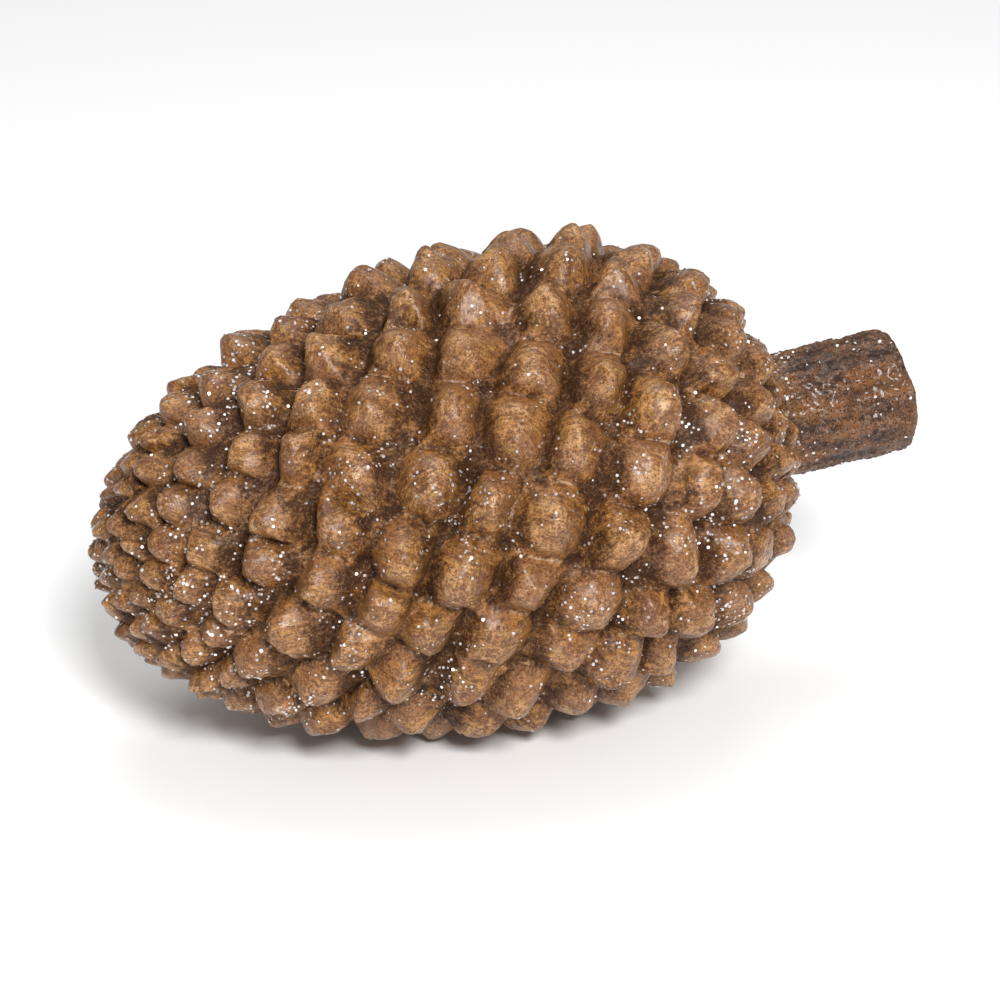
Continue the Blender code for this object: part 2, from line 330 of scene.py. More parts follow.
class Knob:
    """One scale's own form: its crown, its facet and its keel, and how its paint was brushed."""

    def __init__(self, scales, number, loose):
        self.number = number
        self.pitch = scales.pitch[number]
        self.rise = SCALE_RISE * self.pitch
        self.tall = scales.tall[number]
        self.push = math.tan(lean_of(scales.along[number]))
        self.facet_way = scales.facet_way[number]
        self.facet_tilt = scales.facet_tilt[number]
        self.facet_level = scales.facet_level[number]
        self.lee_side = -1.0 if scales.facing_tip[number] else 1.0
        self.peak = loose.uniform(*CROWN_PEAKS)
        self.bluntness = CROWN_BLUNTNESS * loose.uniform(*BLUNTNESS_SPREAD)
        self.tone = loose.uniform(0.0, 1.0)
        self.grain_turn = loose.uniform(-MOST_GRAIN_TURN, MOST_GRAIN_TURN)

    def crown(self, share):
        """Height of the crown, from 1 in its middle to 0 at its foot, with a sweep to the foot."""
        dropped = self.peak * share**PEAK_POWER + (1.0 - self.peak) * share**self.bluntness
        return np.maximum(1.0 - dropped, 0.0) ** FOOT_SWEEP

    def ring_shares(self):
        """Shares of the way to the foot for rings that lie evenly down the knob's side."""
        rings = max(FEWEST_RINGS, round(SCALE_RINGS * (self.pitch / GIRTH_PITCH) ** RING_TAPER))
        share = np.linspace(0.0, 1.0, CROWN_STEPS)
        steps = np.hypot(np.diff(share), np.diff(self.crown(share)))
        travelled = np.concatenate([[0.0], np.cumsum(steps)])
        return np.interp(np.linspace(0.0, travelled[-1], rings + 1), travelled, share)

    def facet(self, ahead, across):
        """Height of the slanted facet that cuts the crown off, at places round its middle."""
        toward_facet = math.cos(self.facet_way) * ahead + math.sin(self.facet_way) * across
        return self.facet_level - self.facet_tilt * toward_facet / self.pitch

    def across_keel(self, ahead, across):
        """Distances of places from the knob's middle, along its keel and across it."""
        cos_g, sin_g = math.cos(self.grain_turn), math.sin(self.grain_turn)
        return -sin_g * ahead + cos_g * across, cos_g * ahead + sin_g * across

    def level(self, share, ahead, across):
        """Height of the knob at places round its middle, with its crown, facet and keel."""
        level = soft_lower(self.crown(share), self.facet(ahead, across), FACET_SOFTNESS)
        _, side = self.across_keel(ahead, across)
        off_keel = 1.0 - np.exp(-((side / (KEEL_WIDTH * self.pitch)) ** 2))
        return level - KEEL_DROP * (1.0 - share) * off_keel

    def grain(self, ahead, across):
        """Where the paint's grain runs, in millimetres: arches round a centre beyond the foot."""
        bend, side = self.across_keel(ahead, across)
        centre = ARCH_CENTRE * self.pitch
        arch = np.hypot(bend - centre, side)
        sweep = np.arctan2(side, centre - bend) * ARCH_SWEEP * self.pitch
        own_layer = np.full(len(ahead), GRAIN_STEP * self.number)
        return np.stack([arch / MM, sweep / MM, own_layer], axis=-1)

    def lee(self, share, ahead):
        """How far places lie on the knob's hidden side, fading out towards its foot, where shade is
        painted.
        """
        return (1.0 - smooth_step(share, *LEE_FADE)) * ahead / self.pitch * self.lee_side


class Skin:
    """The corners of the fine skin: on the flat chart for joining up, and in space."""

    def __init__(self, profile):
        self.profile = profile
        self.chart = []
        self.space = []
        self.grain = []
        self.paint = {name: [] for name in PAINT_VALUES}

    def add(self, length, angle, places, grain, **paint):
        """One ring of corners. A paint value is one number for the ring or one for each corner."""
        chart = self.profile.read(self.profile.chart, length)
        self.chart.append(np.stack([angle, chart], axis=-1))
        self.space.append(places)
        self.grain.append(grain)
        for name in PAINT_VALUES:
            self.paint[name].append(np.broadcast_to(paint[name], len(places)))

    def add_scale(self, scales, number, loose):
        knob = Knob(scales, number, loose)
        for ring, share in enumerate(knob.ring_shares()):
            around = FULL_TURN * share * 0.5 * knob.pitch
            corners = 1 if ring == 0 else max(FEWEST_CORNERS, round(around / CORNER_SPACING))
            directions = FULL_TURN * (np.arange(corners) + 0.5 * (ring % 2)) / corners
            self.add_ring(scales, knob, share, directions)

    def add_ring(self, scales, knob, share, directions):
        """One ring round a scale's middle, at this share of the way to its foot."""
        profile = self.profile
        middle_length = scales.length[knob.number]
        middle_angle = scales.angle[knob.number]
        cell, rounded, web = scales.borders(knob.number, directions)
        chart_reach = FOOT_SHARE * share * cell
        chart_length = middle_length + chart_reach * np.cos(directions)
        chart_radius = profile.safe_radius(chart_length)
        chart_angle = middle_angle + chart_reach * np.sin(directions) / chart_radius
        oval = CROWN_RADIUS * knob.pitch * (1.0 + CROWN_WIDENING * np.sin(directions) ** 2)
        crown_reach = soft_lower(oval, rounded, CROWN_SOFTNESS * knob.pitch)
        hold = share**CROWN_HOLD
        reach = FOOT_SHARE * share * (hold * rounded + (1.0 - hold) * crown_reach)
        ahead = reach * np.cos(directions)
        across = reach * np.sin(directions)
        length = middle_length + ahead
        angle = middle_angle + across / profile.safe_radius(length)
        base = profile.place(length, angle, knob.rise, 0.0)
        uneven = soft_noise(base, FILL_LUMPS, shift=3.0)
        filled = np.clip(LEAST_FILL + WEB_FILL * web + UNEVEN_FILL * uneven, 0.0, MOST_FILL)
        level = filled + (1.0 - filled) * knob.level(share, ahead, across)
        raised = knob.rise * knob.tall * level
        places = profile.place(length, angle, knob.rise - raised, knob.push * raised)
        self.add(
            chart_length,
            chart_angle,
            places,
            knob.grain(ahead, across),
            height=level,
            tone=knob.tone,
            lee=knob.lee(share, ahead),
            edge=knob.crown(share) - knob.facet(ahead, across),
            margin=1.0 - share,
        )

    def add_end(self, lengths, depth):
        """Rings of corners at one bare end of the cone, at these lengths along the profile."""
        for number, length in enumerate(lengths):
            corners = END_CORNERS + MORE_END_CORNERS * number
            angles = FULL_TURN * np.arange(corners) / corners
            ring_length = np.full(corners, length)
            places = self.profile.place(ring_length, angles, depth, 0.0)
            flat = np.zeros(corners)
            grain = np.stack([flat, angles, flat], axis=-1)
            self.add(ring_length, angles, places, grain, height=0, tone=0.5, lee=0, edge=0, margin=0)

    def gather(self):
        """Joins the rings' lists into one array for each value."""
        self.chart = np.concatenate(self.chart)
        self.space = np.concatenate(self.space)
        self.grain = np.concatenate(self.grain)
        self.paint = {name: np.concatenate(values) for name, values in self.paint.items()}

    def triangles(self):
        """Joins the corners on the chart, which runs on past both its edges and comes round again."""
        chart = self.chart.copy()
        chart[:, 0] %= FULL_TURN
        corners = np.arange(len(chart))
        points, owners = [], []
        for turns in (-1, 0, 1):
            moved = chart + [turns * FULL_TURN, 0.0]
            shown = (moved[:, 0] > -CHART_OVERLAP) & (moved[:, 0] < FULL_TURN + CHART_OVERLAP)
            points.append(moved[shown])
            owners.append(corners[shown])
        points = np.concatenate(points)
        owners = np.concatenate(owners)
        joined = delaunay_2d_cdt([Vector(point) for point in points], [], [], 0, CHART_TOLERANCE)
        vertices, _, faces, sources = joined[:4]
        first = np.array([source[0] for source in sources])
        across = np.array([vertex.x for vertex in vertices])
        faces = np.array(faces)
        middle = across[faces].mean(axis=1)
        kept = faces[(middle >= 0.0) & (middle < FULL_TURN)]
        return owners[first[kept]].tolist()


def make_mesh(name, places, faces):
    mesh = bpy.data.meshes.new(name)
    mesh.from_pydata(places.tolist(), [], faces)
    mesh.validate()
    mesh.shade_smooth()
    return mesh


def corner_normals(mesh):
    normals = np.empty(len(mesh.vertices) * 3)
    mesh.vertex_normals.foreach_get("vector", normals)
    return normals.reshape(-1, 3)


def corner_places(mesh):
    places = np.empty(len(mesh.vertices) * 3)
    mesh.vertices.foreach_get("co", places)
    return places.reshape(-1, 3)


def set_places(mesh, places):
    """Moves a mesh's corners, and keeps them inside the solids' box."""
    low, high = np.array(cad_bounds[0]), np.array(cad_bounds[1])
    inset = np.array([BOX_INSET, BOX_INSET, 0.0])
    mesh.vertices.foreach_set("co", np.clip(places, low + inset, high - inset).ravel())
    mesh.update()


def store(mesh, name, kind, values):
    layer = mesh.attributes.new(name, kind, "POINT")
    layer.data.foreach_set("value" if kind == "FLOAT" else "vector", np.asarray(values).ravel())


def add_piece(name, mesh, material):
    piece = bpy.data.objects.new(name, mesh)
    bpy.context.scene.collection.objects.link(piece)
    mesh.materials.append(material)
    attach(piece, "root")
    return piece


def grow_skin():
    """Every scale's corners, between the rings of corners at the cone's two bare ends."""
    profile = Profile()
    scales = Scales(profile)
    skin = Skin(profile)
    loose = np.random.default_rng(RANDOM_SEED + 1)
    apex_depth = SCALE_RISE * profile.pitch(APEX_HOLLOW_RADIUS) * APEX_HOLLOW_DEPTH
    skin.add_end(APEX_RING_LENGTHS, apex_depth)
    for number in range(scales.count):
        skin.add_scale(scales, number, loose)
    under_stem = (profile.along > 0.0) & (profile.radius < BASE_RING_RADIUS)
    base_length = float(profile.length[under_stem][0])
    skin.add_end([base_length], SCALE_RISE * profile.pitch(STEM_RADIUS))
    skin.gather()
    return skin


def wear_down(mesh):
    """Works lumps into the mesh along its normals, and sways all of it a little."""
    places = corner_places(mesh)
    worn = COARSE_WEAR[0] * soft_noise(places, COARSE_WEAR[1])
    worn += FINE_WEAR[0] * soft_noise(places, FINE_WEAR[1], shift=7.0)
    ways = [soft_noise(places, SWAY[1], shift) for shift in (11.0, 13.0, 17.0)]
    sway = SWAY[0] * np.stack(ways, axis=-1)
    set_places(mesh, places + sway + corner_normals(mesh) * worn[:, None])


def build_cone(material):
    """The fine cone: one closed skin, with the values that its paint reads at every corner."""
    skin = grow_skin()
    count = len(skin.space)
    apex_face = list(range(END_CORNERS))[::-1]
    base_face = list(range(count - END_CORNERS, count))
    faces = skin.triangles() + [apex_face, base_face]
    mesh = make_mesh("fine_cone", to_world(skin.space), faces)
    wear_down(mesh)
    for name, values in skin.paint.items():
        store(mesh, name, "FLOAT", values)
    store(mesh, "grain", "FLOAT_VECTOR", skin.grain)
    piece = add_piece("fine_cone", mesh, material)
    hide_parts("cone")
    return piece


# The fine stem: its corners, its slight flare from the root, and its worn rim and dished end
STEM_CORNERS = 168
STEM_RINGS = 84
STEM_END_RINGS = 16
STEM_ROOT_SHARE = 0.935
STEM_FLARE = 0.045
THICKEST_STEM = 1.02
RIM_WIDTH = 0.0016
RIM_WEAR = 0.8
END_DISH = 0.0004

# The bark's lengthwise ridges, and its grit and wear as (depth, size of the lumps)
RIDGE_LENGTH = 0.016
RIDGE_WIDTH = 0.0027
RIDGE_DEPTH = 0.00040
GRIT = (0.00042, 0.0011)
FINE_GRIT = (0.00026, 0.00055)
STEM_WEAR = (0.0005, 0.006)

# The broken end: where it starts, where it is whole, and how deep it is chipped and gritty
END_FACE = (STEM_END - 0.004, STEM_END - 0.0003)
CHIP_DEPTH = 0.0011
CHIP_SHARE = 0.25
CHIP_GRIT = 0.0003


def stem_rings():
    """The stem's rings from its root to the middle of its end: places along it, and radii."""
    alongs, radii = [], []
    for ring in range(STEM_RINGS):
        share = ring / (STEM_RINGS - 1)
        along = STEM_ROOT + share * (STEM_END - STEM_ROOT)
        past_rim = min(max(0.0, along - (STEM_END - RIM_WIDTH)) / RIM_WIDTH, 1.0)
        worn = RIM_WIDTH * RIM_WEAR * (1.0 - math.sqrt(1.0 - past_rim**2))
        alongs.append(along)
        radii.append(STEM_RADIUS * (STEM_ROOT_SHARE + STEM_FLARE * share) - worn)
    rim_radius = radii[-1]
    for ring in range(1, STEM_END_RINGS + 1):
        inward = 1.0 - ring / (STEM_END_RINGS + 0.5)
        alongs.append(STEM_END - END_DISH * (1.0 - inward))
        radii.append(rim_radius * inward)
    return alongs, radii


def round_places(along, radius, turn):
    """Places round the stem's axis."""
    return np.stack([along, radius * np.cos(turn), radius * np.sin(turn)], axis=-1)


def tube_faces(rings, corners):
    """Faces between neighbouring rings of corners, and one over each end."""
    faces = []
    for ring in range(rings - 1):
        low, high = ring * corners, (ring + 1) * corners
        for corner in range(corners):
            after = (corner + 1) % corners
            faces.append([low + corner, low + after, high + after, high + corner])
    last = (rings - 1) * corners
    faces.append(list(range(last, last + corners)))
    faces.append(list(range(corners))[::-1])
    return faces


def build_stem(material):
    """A stub of branch with lengthwise ridges, gritty bark and a chipped end."""
    alongs, radii = stem_rings()
    along = np.repeat(alongs, STEM_CORNERS)
    radius = np.repeat(radii, STEM_CORNERS)
    turn = np.tile(FULL_TURN * np.arange(STEM_CORNERS) / STEM_CORNERS, len(alongs))
    spots = round_places(along, radius, turn)
    on_bark = round_places(along / RIDGE_LENGTH, STEM_RADIUS / RIDGE_WIDTH, turn)
    ridge = soft_noise(on_bark, 1.0, shift=3.0)
    grit = soft_noise(spots, GRIT[1], shift=5.0)
    fine_grit = soft_noise(spots, FINE_GRIT[1], shift=9.0)
    worn = soft_noise(spots, STEM_WEAR[1], shift=2.0)
    relief = RIDGE_DEPTH * ridge + GRIT[0] * grit + FINE_GRIT[0] * fine_grit + STEM_WEAR[0] * worn
    on_side = np.arange(len(along)) < STEM_RINGS * STEM_CORNERS
    thickest = STEM_RADIUS * THICKEST_STEM
    radius = np.where(on_side, np.minimum(radius + relief, thickest), radius)
    chipped = CHIP_DEPTH * np.clip(worn + CHIP_SHARE, 0.0, 1.0) + CHIP_GRIT * np.clip(grit, 0.0, 1.0)
    along = along - smooth_step(along, *END_FACE) * chipped
    spots = round_places(along, radius, turn)
    mesh = make_mesh("fine_stem", spots, tube_faces(len(alongs), STEM_CORNERS))
    set_places(mesh, to_world(spots))
    store(mesh, "ridge", "FLOAT", ridge)
    store(mesh, "grit", "FLOAT", grit)
    store(mesh, "stem_place", "FLOAT_VECTOR", spots / MM)
    piece = add_piece("fine_stem", mesh, material)
    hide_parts("stem")
    return piece


class Nodes:
    """Short calls for the nodes of one material."""

    def __init__(self, name):
        self.material = bpy.data.materials.new(name)
        self.material.use_nodes = True
        self.tree = self.material.node_tree
        self.shader = self.tree.nodes["Principled BSDF"]

    def link(self, value, socket):
        if isinstance(value, bpy.types.NodeSocket):
            self.tree.links.new(value, socket)
        else:
            socket.default_value = value

    def set_shader(self, **values):
        """Sets the shader's sockets, named in lower case with low lines for spaces."""
        for socket in self.shader.inputs:
            name = socket.name.lower().replace(" ", "_")
            if name in values:
                self.link(values[name], socket)

    def add(self, kind, **settings):
        node = self.tree.nodes.new(kind)
        for name, value in settings.items():
            setattr(node, name, value)
        return node

    def attribute(self, name, output="Fac"):
        return self.add("ShaderNodeAttribute", attribute_name=name).outputs[output]

    def place(self):
        """The place on the object in millimetres."""
        source = self.add("ShaderNodeTexCoord").outputs["Object"]
        return self.scaled(source, (1.0 / MM, 1.0 / MM, 1.0 / MM))

    def scaled(self, vector, by):
        node = self.add("ShaderNodeVectorMath", operation="MULTIPLY")
        self.link(vector, node.inputs[0])
        node.inputs[1].default_value = by
        return node.outputs[0]

    def noise(self, vector, scale, detail=3.0, rough=0.5, distortion=0.0):
        node = self.add("ShaderNodeTexNoise")
        self.link(vector, node.inputs["Vector"])
        node.inputs["Scale"].default_value = scale
        node.inputs["Detail"].default_value = detail
        node.inputs["Roughness"].default_value = rough
        node.inputs["Distortion"].default_value = distortion
        return node.outputs["Fac"]

    def spread(self, value, low, high, at_low=0.0, at_high=1.0):
        """A value that eases from one level to another as the given one goes from low to high."""
        node = self.add("ShaderNodeMapRange", interpolation_type="SMOOTHSTEP")
        self.link(value, node.inputs["Value"])
        node.inputs["From Min"].default_value = low
        node.inputs["From Max"].default_value = high
        node.inputs["To Min"].default_value = at_low
        node.inputs["To Max"].default_value = at_high
        return node.outputs["Result"]

    def above(self, value, low, high, most=1.0):
        """Nothing below the low value, and the most above the high one."""
        return self.spread(value, low, high, 0.0, most)

    def below(self, value, low, high, most=1.0):
        """The most below the low value, and nothing above the high one."""
        return self.spread(value, low, high, most, 0.0)

    def math(self, operation, first, second):
        node = self.add("ShaderNodeMath", operation=operation)
        self.link(first, node.inputs[0])
        self.link(second, node.inputs[1])
        return node.outputs[0]

    def times(self, first, second):
        return self.math("MULTIPLY", first, second)

    def plus(self, first, second):
        return self.math("ADD", first, second)

    def swing(self, value, width):
        """A value from 0 to 1 turned into one that swings round nothing, this wide in all."""
        return self.times(self.math("SUBTRACT", value, 0.5), width)

    def size_of(self, value):
        return self.math("ABSOLUTE", value, 0.0)

    def mix(self, share, first, second):
        """A share of the second colour over the first."""
        node = self.add("ShaderNodeMix", data_type="RGBA")
        self.link(share, node.inputs[0])
        for value, socket in ((first, node.inputs[6]), (second, node.inputs[7])):
            self.link((*value, 1.0) if isinstance(value, tuple) else value, socket)
        return node.outputs[2]

    def bump(self, height, distance):
        node = self.add("ShaderNodeBump")
        self.link(height, node.inputs["Height"])
        node.inputs["Distance"].default_value = distance
        node.inputs["Strength"].default_value = BUMP_STRENGTH
        return node.outputs["Normal"]


# The paint of the scales, from its dark ground to its pale rims
UMBER = (0.130, 0.045, 0.012)
OCHRE = (0.40, 0.172, 0.040)
GOLD_STREAK = (0.50, 0.255, 0.070)
MAUVE_BROWN = (0.235, 0.095, 0.038)
DARK_FIBRE = (0.075, 0.025, 0.008)
FINE_LINE = (0.060, 0.020, 0.006)
# Pale dry brushing on the crowns, which also stands as a painted highlight there
DRY_BRUSH_AND_HIGHLIGHT = (0.57, 0.335, 0.165)
DARK_SPECK = (0.105, 0.035, 0.010)
PALE_SPECK = (0.52, 0.30, 0.12)
# A dark wash in the valleys, which also stands as painted shade there and on each knob's hidden side
VALLEY_WASH_AND_SHADE = (0.026, 0.009, 0.003)
PALE_HAZE = (0.33, 0.21, 0.14)
DARK_FLECK = (0.045, 0.017, 0.007)
DARK_PIT = (0.060, 0.022, 0.008)
PALE_PIT = (0.52, 0.34, 0.22)
# Pale lines painted along the rims as highlights
PALE_RIM_HIGHLIGHT = (0.50, 0.34, 0.21)

# How finely the brushed marks repeat to the millimetre: across the grain and along it. The last
# number keeps the marks of one scale apart from the next one's.
STREAKS = (1.3, 0.20, 9.0)
FIBRES = (4.0, 0.40, 9.0)
LINES = (1.5, 0.15, 9.0)

# How far the paint and the lacquer stand up
BUMP_STRENGTH = 0.9
PAINT_RELIEF = 0.00030
LACQUER_RELIEF = 0.00012


class ScalePaint(Nodes):
    """The paint of the scales, laid on in coats. Noises count their lumps to the millimetre."""

    def __init__(self):
        super().__init__("painted_scales")
        self.spot = self.place()
        self.height = self.attribute("height")
        self.tone = self.attribute("tone")
        self.grain = self.attribute("grain", "Vector")
        self.margin = self.attribute("margin")
        self.inner = self.above(self.margin, 0.03, 0.28)
        self.broad = self.noise(self.spot, 0.16, 3.0, 0.55)
        self.mottle = self.noise(self.spot, 0.42, 4.0, 0.62, 0.5)
        self.speck = self.noise(self.spot, 1.7, 4.0, 0.68)
        self.pits = self.noise(self.spot, 3.6, 2.0, 0.6)
        self.fibre = self.noise(self.scaled(self.grain, FIBRES), 1.0, 3.0, 0.6, 0.2)
        mixed = self.plus(self.times(self.mottle, 0.75), self.times(self.speck, 0.25))
        self.shade = self.plus(mixed, self.swing(self.tone, 0.07))
        self.ragged = self.ragged_height()

    def ragged_height(self):
        """The height with ragged steps in it, and lower on each knob's hidden side. The valleys' wash
        and painted shade follow it.
        """
        ragged = self.plus(self.height, self.swing(self.mottle, 0.7))
        ragged = self.plus(ragged, self.swing(self.speck, 0.7))
        return self.plus(ragged, self.times(self.attribute("lee"), 0.9))

    def ground(self):
        """Mottled umber and ochre, with broad patches of a mauve brown."""
        streak = self.noise(self.scaled(self.grain, STREAKS), 1.0, 4.0, 0.6, 0.4)
        streaks = self.times(self.inner, self.above(streak, 0.44, 0.68, 0.75))
        patches = self.above(self.plus(self.broad, self.times(self.tone, 0.12)), 0.48, 0.66, 0.6)
        paint = self.mix(self.above(self.shade, 0.38, 0.60), UMBER, OCHRE)
        paint = self.mix(streaks, paint, GOLD_STREAK)
        return self.mix(patches, paint, MAUVE_BROWN)

    def brushed(self, paint):
        """Dark fibres and fine lines along the grain, and pale dry brushing on the crowns that paints a
        highlight there.
        """
        line = self.noise(self.scaled(self.grain, LINES), 1.0, 2.0, 0.5, 0.4)
        line = self.size_of(self.math("SUBTRACT", line, 0.5))
        lines = self.times(self.below(line, 0.010, 0.065, 0.55), self.above(self.mottle, 0.35, 0.6))
        patchy = self.plus(self.times(self.speck, 0.45), self.times(self.mottle, 0.55))
        # Pale dry brushing and a painted highlight on the crowns, in patches
        dry = self.times(self.above(self.height, 0.50, 0.90), self.above(patchy, 0.49, 0.60, 0.6))
        fibres = self.times(self.inner, self.below(self.fibre, 0.32, 0.50, 0.65))
        paint = self.mix(fibres, paint, DARK_FIBRE)
        paint = self.mix(self.times(self.inner, lines), paint, FINE_LINE)
        return self.mix(dry, paint, DRY_BRUSH_AND_HIGHLIGHT)

    def specked(self, paint):
        paint = self.mix(self.below(self.speck, 0.36, 0.48, 0.6), paint, DARK_SPECK)
        return self.mix(self.above(self.speck, 0.56, 0.66, 0.4), paint, PALE_SPECK)

    def washed_and_shaded(self, paint):
        """A dark wash and painted shade in the valleys and on hidden sides, and a pale haze in broad
        patches.
        """
        haze = self.times(self.above(self.broad, 0.50, 0.66), self.above(self.speck, 0.44, 0.60, 0.15))
        # Painted shade over a dark wash: darkest in the valleys and on each knob's hidden side
        paint = self.mix(self.below(self.ragged, -0.02, 0.52, 0.93), paint, VALLEY_WASH_AND_SHADE)
        return self.mix(haze, paint, PALE_HAZE)

    def pitted(self, paint):
        """Dark flecks, and pits that are dark or filled with pale dust."""
        flecks = self.above(self.noise(self.spot, 2.6, 3.0, 0.7, 0.5), 0.55, 0.62, 0.75)
        paint = self.mix(flecks, paint, DARK_FLECK)
        paint = self.mix(self.below(self.pits, 0.30, 0.44, 0.7), paint, DARK_PIT)
        return self.mix(self.above(self.pits, 0.60, 0.72, 0.4), paint, PALE_PIT)

    def rimmed_with_highlights(self, paint):
        """Pale lines painted as highlights along the rims, in patches: round the facets, and where
        neighbours meet.
        """
        flank = self.times(self.below(self.height, 0.55, 0.78), self.above(self.margin, 0.06, 0.16))
        edge = self.below(self.size_of(self.attribute("edge")), 0.004, 0.030, 0.85)
        seam = self.times(self.below(self.margin, 0.0, 0.014, 0.7), self.above(self.height, 0.10, 0.24))
        rims = self.plus(self.times(edge, flank), seam)
        # Painted highlights along the rims, in patches
        return self.mix(self.times(rims, self.above(self.shade, 0.47, 0.57)), paint, PALE_RIM_HIGHLIGHT)

    def relief(self):
        relief = self.plus(self.times(self.fibre, 0.35), self.times(self.pits, 0.35))
        return self.plus(relief, self.times(self.speck, 1.1))


def painted_scales():
    """Golden brown paint with brushed fibres, a dark wash with painted shade in the valleys, painted
    highlights on crowns and rims, and clear lacquer.
    """
    made = ScalePaint()
    paint = made.ground()
    for coat in (made.brushed, made.specked, made.washed_and_shaded, made.pitted, made.rimmed_with_highlights):
        paint = coat(paint)
    relief = made.relief()
    made.set_shader(
        base_color=paint,
        roughness=made.spread(made.speck, 0.35, 0.65, 0.40, 0.65),
        specular_ior_level=0.1,
        coat_weight=made.spread(made.ragged, 0.0, 0.6, 0.08, 0.75),
        coat_roughness=0.10,
        normal=made.bump(relief, PAINT_RELIEF),
        coat_normal=made.bump(relief, LACQUER_RELIEF),
    )
    return made.material


# The paint of the stem, and how finely its marks repeat to the millimetre, along it and across
BARK_DARK = (0.040, 0.016, 0.008)
BARK_BROWN = (0.185, 0.080, 0.036)
RUBBED_ORANGE = (0.27, 0.108, 0.030)
PALE_GRIT = (0.31, 0.200, 0.140)
BLACK_GRIT = (0.015, 0.006, 0.005)
RIDGE_SHADOW = (0.020, 0.008, 0.005)
BARK_LINES = (0.30, 0.75, 0.75)
BARK_PATCHES = (0.10, 0.16, 0.16)
BARK_RELIEF = 0.0006


def painted_bark():
    """Dark granular bark paint with lengthwise streaks, and orange brown where it is rubbed."""
    made = Nodes("painted_bark")
    place = made.attribute("stem_place", "Vector")
    grit = made.noise(place, 1.1, 4.0, 0.7)
    fine = made.noise(place, 3.0, 3.0, 0.65)
    lines = made.noise(made.scaled(place, BARK_LINES), 1.0, 4.0, 0.65, 0.5)
    patch = made.noise(made.scaled(place, BARK_PATCHES), 1.0, 3.0, 0.55)
    bark = made.mix(made.above(lines, 0.40, 0.60), BARK_DARK, BARK_BROWN)
    bark = made.mix(made.above(patch, 0.46, 0.60, 0.7), bark, RUBBED_ORANGE)
    bark = made.mix(made.above(grit, 0.50, 0.62, 0.7), bark, PALE_GRIT)
    bark = made.mix(made.above(fine, 0.50, 0.60, 0.9), bark, BLACK_GRIT)
    bark = made.mix(made.below(made.attribute("ridge"), -0.5, 0.1, 0.45), bark, RIDGE_SHADOW)
    made.set_shader(
        base_color=bark,
        roughness=made.spread(grit, 0.35, 0.65, 0.45, 0.75),
        specular_ior_level=0.2,
        coat_weight=0.3,
        coat_roughness=0.2,
        normal=made.bump(made.plus(grit, made.times(fine, 0.6)), BARK_RELIEF),
    )
    return made.material


# Silver glitter, under the lacquer and clear of it
DULLED_SILVER = (0.46, 0.385, 0.37)
CLEAN_SILVER = (1.0, 0.98, 0.96)


def silver_flake():
    """Silver glitter: some flakes are clean and bright, and most are dulled by the lacquer."""
    made = Nodes("silver_glitter")
    shine = made.attribute("shine")
    made.set_shader(
        base_color=made.mix(shine, DULLED_SILVER, CLEAN_SILVER),
        metallic=0.55,
        roughness=made.spread(shine, 0.0, 1.0, 0.5, 0.28),
    )
    return made.material


# The glitter: how many flakes, their sizes from the middle to a corner, and how they lie
FLAKES_ON_CONE = 8000
FLAKES_ON_STEM = 450
FLAKE_SIDES = 6
FLAKE_SIZES = (0.00015, 0.00030)
FLAKE_LIFT = 0.00011
FLAKE_SWING = 0.22
CLEAN_SHARE = 0.30
CLEAN_SHINES = (0.3, 1.0)
DULLED_SHINES = (0.0, 0.35)
TRIES_PER_FLAKE = 8

# Where the glitter lies: the sizes of its drifts and clusters, what adds to them towards the tip
# and at the stem's root, what the top of the cone takes from them, and how they thin out
DRIFT_SIZE = 0.014
CLUSTER_SIZE = 0.0042
CLUSTER_SHARE = 0.9
TIP_RANGE = (0.010, 0.050)
TIP_GAIN = 0.45
STEM_FOOT = 0.040
STEM_FOOT_WIDTH = 0.014
STEM_FOOT_GAIN = 0.35
TOP_RANGE = (0.058, 0.078)
TOP_LOSS = 0.30
LEAST_GLITTER = 0.10
DRIFT_RANGE = (-0.1, 0.95)
DRIFT_POWER = 1.5


def face_samples(piece, count, random, wanted):
    """Random places on a mesh, with their normals. The wanted function gives each place's chance."""
    mesh = piece.data
    mesh.calc_loop_triangles()
    triangles = np.empty(len(mesh.loop_triangles) * 3, dtype=np.int32)
    mesh.loop_triangles.foreach_get("vertices", triangles)
    triangles = triangles.reshape(-1, 3)
    places = corner_places(mesh)
    a, b, c = places[triangles[:, 0]], places[triangles[:, 1]], places[triangles[:, 2]]
    cross = np.cross(b - a, c - a)
    area = np.linalg.norm(cross, axis=1) / 2.0
    normals = cross / np.maximum(2.0 * area[:, None], TINY**2)
    tries = random.choice(len(triangles), size=TRIES_PER_FLAKE * count, p=area / area.sum())
    first, second = random.random((2, len(tries)))
    folded = first + second > 1.0
    first = np.where(folded, 1.0 - first, first)
    second = np.where(folded, 1.0 - second, second)
    spots = a[tries] + first[:, None] * (b - a)[tries] + second[:, None] * (c - a)[tries]
    chance = wanted(spots)
    kept = np.flatnonzero(random.random(len(tries)) < chance / chance.max())[:count]
    return spots[kept], normals[tries][kept]


def glitter_wanted(spots):
    """Glitter lies in drifts, thickest towards the tip and where the stem leaves the cone."""
    clusters = CLUSTER_SHARE * soft_noise(spots, CLUSTER_SIZE, shift=8.0)
    drifts = soft_noise(spots, DRIFT_SIZE, shift=4.0) + clusters
    toward_tip = smooth_step(-spots[:, 0], *TIP_RANGE)
    at_stem = np.exp(-(((spots[:, 0] - STEM_FOOT) / STEM_FOOT_WIDTH) ** 2))
    on_top = smooth_step(spots[:, 2], *TOP_RANGE)
    drifts += TIP_GAIN * toward_tip + STEM_FOOT_GAIN * at_stem - TOP_LOSS * on_top
    return LEAST_GLITTER + smooth_step(drifts, *DRIFT_RANGE) ** DRIFT_POWER


def unit(vectors):
    return vectors / np.linalg.norm(vectors, axis=1)[:, None]


